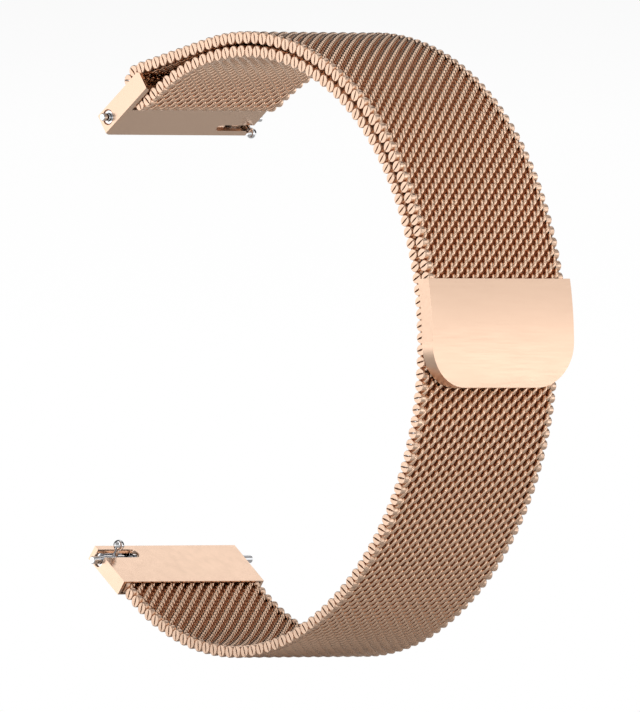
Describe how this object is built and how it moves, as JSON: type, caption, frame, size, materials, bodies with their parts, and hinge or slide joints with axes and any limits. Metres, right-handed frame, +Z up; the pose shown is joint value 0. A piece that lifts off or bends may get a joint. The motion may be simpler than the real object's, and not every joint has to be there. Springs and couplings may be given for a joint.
{
  "type": "watch strap",
  "caption": "Woven metal mesh watch strap with a magnetic clasp, a loop fitting, an end fitting and quick-release spring bars.",
  "frame": {"origin": "halfway between the axes of the two spring bars, in the strap's middle plane", "axes": "+X from the watch towards the clasp, +Y across the strap, +Z up from the lower spring bar to the upper one"},
  "size_m": [0.0578, 0.0228, 0.0681],
  "materials": {
    "rose_gold": "satin rose gold plating",
    "mesh_rose_gold": "bright rose gold plating on woven wire",
    "polished_steel": "polished",
    "spring_steel": "drawn wire",
    "magnet": "nickel plated"
  },
  "bodies": {
    "loop_frame": {"loop_fitting": "rose_gold", "upper_bar_tube": "polished_steel", "upper_fixed_tip": "polished_steel", "upper_bar_spring": "spring_steel"},
    "upper_plunger": {"upper_sprung_tip": "polished_steel", "upper_release_lever": "polished_steel"},
    "fold": {"mesh_fold": "mesh_rose_gold", "inner_mesh_01": "mesh_rose_gold"},
    "inner_02": {"inner_mesh_02": "mesh_rose_gold"},
    "inner_03": {"inner_mesh_03": "mesh_rose_gold"},
    "inner_04": {"inner_mesh_04": "mesh_rose_gold"},
    "inner_05": {"inner_mesh_05": "mesh_rose_gold"},
    "inner_06": {"inner_mesh_06": "mesh_rose_gold"},
    "inner_07": {"inner_mesh_07": "mesh_rose_gold"},
    "inner_08": {"inner_mesh_08": "mesh_rose_gold"},
    "inner_09": {"inner_mesh_09": "mesh_rose_gold"},
    "inner_10": {"inner_mesh_10": "mesh_rose_gold"},
    "inner_11": {"inner_mesh_11": "mesh_rose_gold"},
    "inner_12": {"inner_mesh_12": "mesh_rose_gold"},
    "inner_13": {"inner_mesh_13": "mesh_rose_gold"},
    "inner_14": {"inner_mesh_14": "mesh_rose_gold"},
    "inner_15": {"inner_mesh_15": "mesh_rose_gold"},
    "inner_16": {"inner_mesh_16": "mesh_rose_gold", "end_fitting": "rose_gold", "lower_bar_tube": "polished_steel", "lower_fixed_tip": "polished_steel", "lower_bar_spring": "spring_steel"},
    "lower_plunger": {"lower_sprung_tip": "polished_steel", "lower_release_lever": "polished_steel"},
    "outer_01": {"outer_mesh_01": "mesh_rose_gold"},
    "outer_02": {"outer_mesh_02": "mesh_rose_gold"},
    "outer_03": {"outer_mesh_03": "mesh_rose_gold"},
    "outer_04": {"outer_mesh_04": "mesh_rose_gold"},
    "outer_05": {"outer_mesh_05": "mesh_rose_gold"},
    "outer_06": {"outer_mesh_06": "mesh_rose_gold"},
    "outer_07": {"outer_mesh_07": "mesh_rose_gold"},
    "outer_08": {"outer_mesh_08": "mesh_rose_gold"},
    "clasp": {"clasp_mesh_end": "mesh_rose_gold", "clasp_shell": "rose_gold", "clasp_back_plate": "rose_gold", "clasp_magnets": "magnet", "clasp_yoke": "spring_steel"}
  },
  "joints": [
    {"name": "fold_swivel", "type": "hinge", "parent": "loop_frame", "child": "fold", "pos_m": [0.00556, 0, 0.02746], "axis": [0, -1, 0], "range_deg": [-20, 30]},
    {"name": "flex_01", "type": "hinge", "parent": "fold", "child": "inner_02", "pos_m": [0.01701, 0, 0.03049], "axis": [0, -1, 0], "range_deg": [-3, 15]},
    {"name": "flex_02", "type": "hinge", "parent": "inner_02", "child": "inner_03", "pos_m": [0.02534, 0, 0.03111], "axis": [0, -1, 0], "range_deg": [-3, 15]},
    {"name": "flex_03", "type": "hinge", "parent": "inner_03", "child": "inner_04", "pos_m": [0.03349, 0, 0.02927], "axis": [0, -1, 0], "range_deg": [-3, 15]},
    {"name": "flex_04", "type": "hinge", "parent": "inner_04", "child": "inner_05", "pos_m": [0.04075, 0, 0.02514], "axis": [0, -1, 0], "range_deg": [-3, 15]},
    {"name": "flex_05", "type": "hinge", "parent": "inner_05", "child": "inner_06", "pos_m": [0.0465, 0, 0.01907], "axis": [0, -1, 0], "range_deg": [-3, 15]},
    {"name": "flex_06", "type": "hinge", "parent": "inner_06", "child": "inner_07", "pos_m": [0.04954, 0, 0.01377], "axis": [0, -1, 0], "range_deg": [-3, 15]},
    {"name": "flex_07", "type": "hinge", "parent": "inner_07", "child": "inner_08", "pos_m": [0.05159, 0, 0.00802], "axis": [0, -1, 0], "range_deg": [-3, 15]},
    {"name": "flex_08", "type": "hinge", "parent": "inner_08", "child": "inner_09", "pos_m": [0.05231, 0, -0.0056], "axis": [0, -1, 0], "range_deg": [-3, 15]},
    {"name": "flex_09", "type": "hinge", "parent": "inner_09", "child": "inner_10", "pos_m": [0.05022, 0, -0.01329], "axis": [0, -1, 0], "range_deg": [-3, 15]},
    {"name": "flex_10", "type": "hinge", "parent": "inner_10", "child": "inner_11", "pos_m": [0.04641, 0, -0.02028], "axis": [0, -1, 0], "range_deg": [-3, 15]},
    {"name": "flex_11", "type": "hinge", "parent": "inner_11", "child": "inner_12", "pos_m": [0.04109, 0, -0.02621], "axis": [0, -1, 0], "range_deg": [-3, 15]},
    {"name": "flex_12", "type": "hinge", "parent": "inner_12", "child": "inner_13", "pos_m": [0.03454, 0, -0.03074], "axis": [0, -1, 0], "range_deg": [-3, 15]},
    {"name": "flex_13", "type": "hinge", "parent": "inner_13", "child": "inner_14", "pos_m": [0.02697, 0, -0.03346], "axis": [0, -1, 0], "range_deg": [-3, 15]},
    {"name": "flex_14", "type": "hinge", "parent": "inner_14", "child": "inner_15", "pos_m": [0.01895, 0, -0.03391], "axis": [0, -1, 0], "range_deg": [-3, 15]},
    {"name": "flex_15", "type": "hinge", "parent": "inner_15", "child": "inner_16", "pos_m": [0.01113, 0, -0.03207], "axis": [0, -1, 0], "range_deg": [-3, 15]},
    {"name": "outer_lift", "type": "hinge", "parent": "fold", "child": "outer_01", "pos_m": [0.00514, 0, 0.02936], "axis": [0, -1, 0], "range_deg": [0, 60]},
    {"name": "outer_flex_01", "type": "hinge", "parent": "outer_01", "child": "outer_02", "pos_m": [0.01701, 0, 0.03049], "axis": [0, -1, 0], "range_deg": [-3, 15]},
    {"name": "outer_flex_02", "type": "hinge", "parent": "outer_02", "child": "outer_03", "pos_m": [0.02534, 0, 0.03111], "axis": [0, -1, 0], "range_deg": [-3, 15]},
    {"name": "outer_flex_03", "type": "hinge", "parent": "outer_03", "child": "outer_04", "pos_m": [0.03349, 0, 0.02927], "axis": [0, -1, 0], "range_deg": [-3, 15]},
    {"name": "outer_flex_04", "type": "hinge", "parent": "outer_04", "child": "outer_05", "pos_m": [0.04075, 0, 0.02514], "axis": [0, -1, 0], "range_deg": [-3, 15]},
    {"name": "outer_flex_05", "type": "hinge", "parent": "outer_05", "child": "outer_06", "pos_m": [0.0465, 0, 0.01907], "axis": [0, -1, 0], "range_deg": [-3, 15]},
    {"name": "outer_flex_06", "type": "hinge", "parent": "outer_06", "child": "outer_07", "pos_m": [0.04954, 0, 0.01377], "axis": [0, -1, 0], "range_deg": [-3, 15]},
    {"name": "outer_flex_07", "type": "hinge", "parent": "outer_07", "child": "outer_08", "pos_m": [0.05159, 0, 0.00802], "axis": [0, -1, 0], "range_deg": [-3, 15]},
    {"name": "clasp_tip", "type": "hinge", "parent": "outer_08", "child": "clasp", "pos_m": [0.0534, 0, 0.00688], "axis": [0, -1, 0], "range_deg": [0, 45]},
    {"name": "upper_lever_slide", "type": "slide", "parent": "loop_frame", "child": "upper_plunger", "axis": [0, -1, 0], "range_m": [0, 0.002], "stiffness_N_per_m": 250, "springref_m": -0.002, "deforming": ["upper_bar_spring"]},
    {"name": "lower_lever_slide", "type": "slide", "parent": "inner_16", "child": "lower_plunger", "axis": [0, 1, 0], "range_m": [0, 0.002], "stiffness_N_per_m": 250, "springref_m": -0.002, "deforming": ["lower_bar_spring"]}
  ],
  "couplings": [
    {"joint": "outer_flex_01", "follows": "flex_01", "ratio": 1},
    {"joint": "outer_flex_02", "follows": "flex_02", "ratio": 1},
    {"joint": "outer_flex_03", "follows": "flex_03", "ratio": 1},
    {"joint": "outer_flex_04", "follows": "flex_04", "ratio": 1},
    {"joint": "outer_flex_05", "follows": "flex_05", "ratio": 1},
    {"joint": "outer_flex_06", "follows": "flex_06", "ratio": 1},
    {"joint": "outer_flex_07", "follows": "flex_07", "ratio": 1}
  ]
}
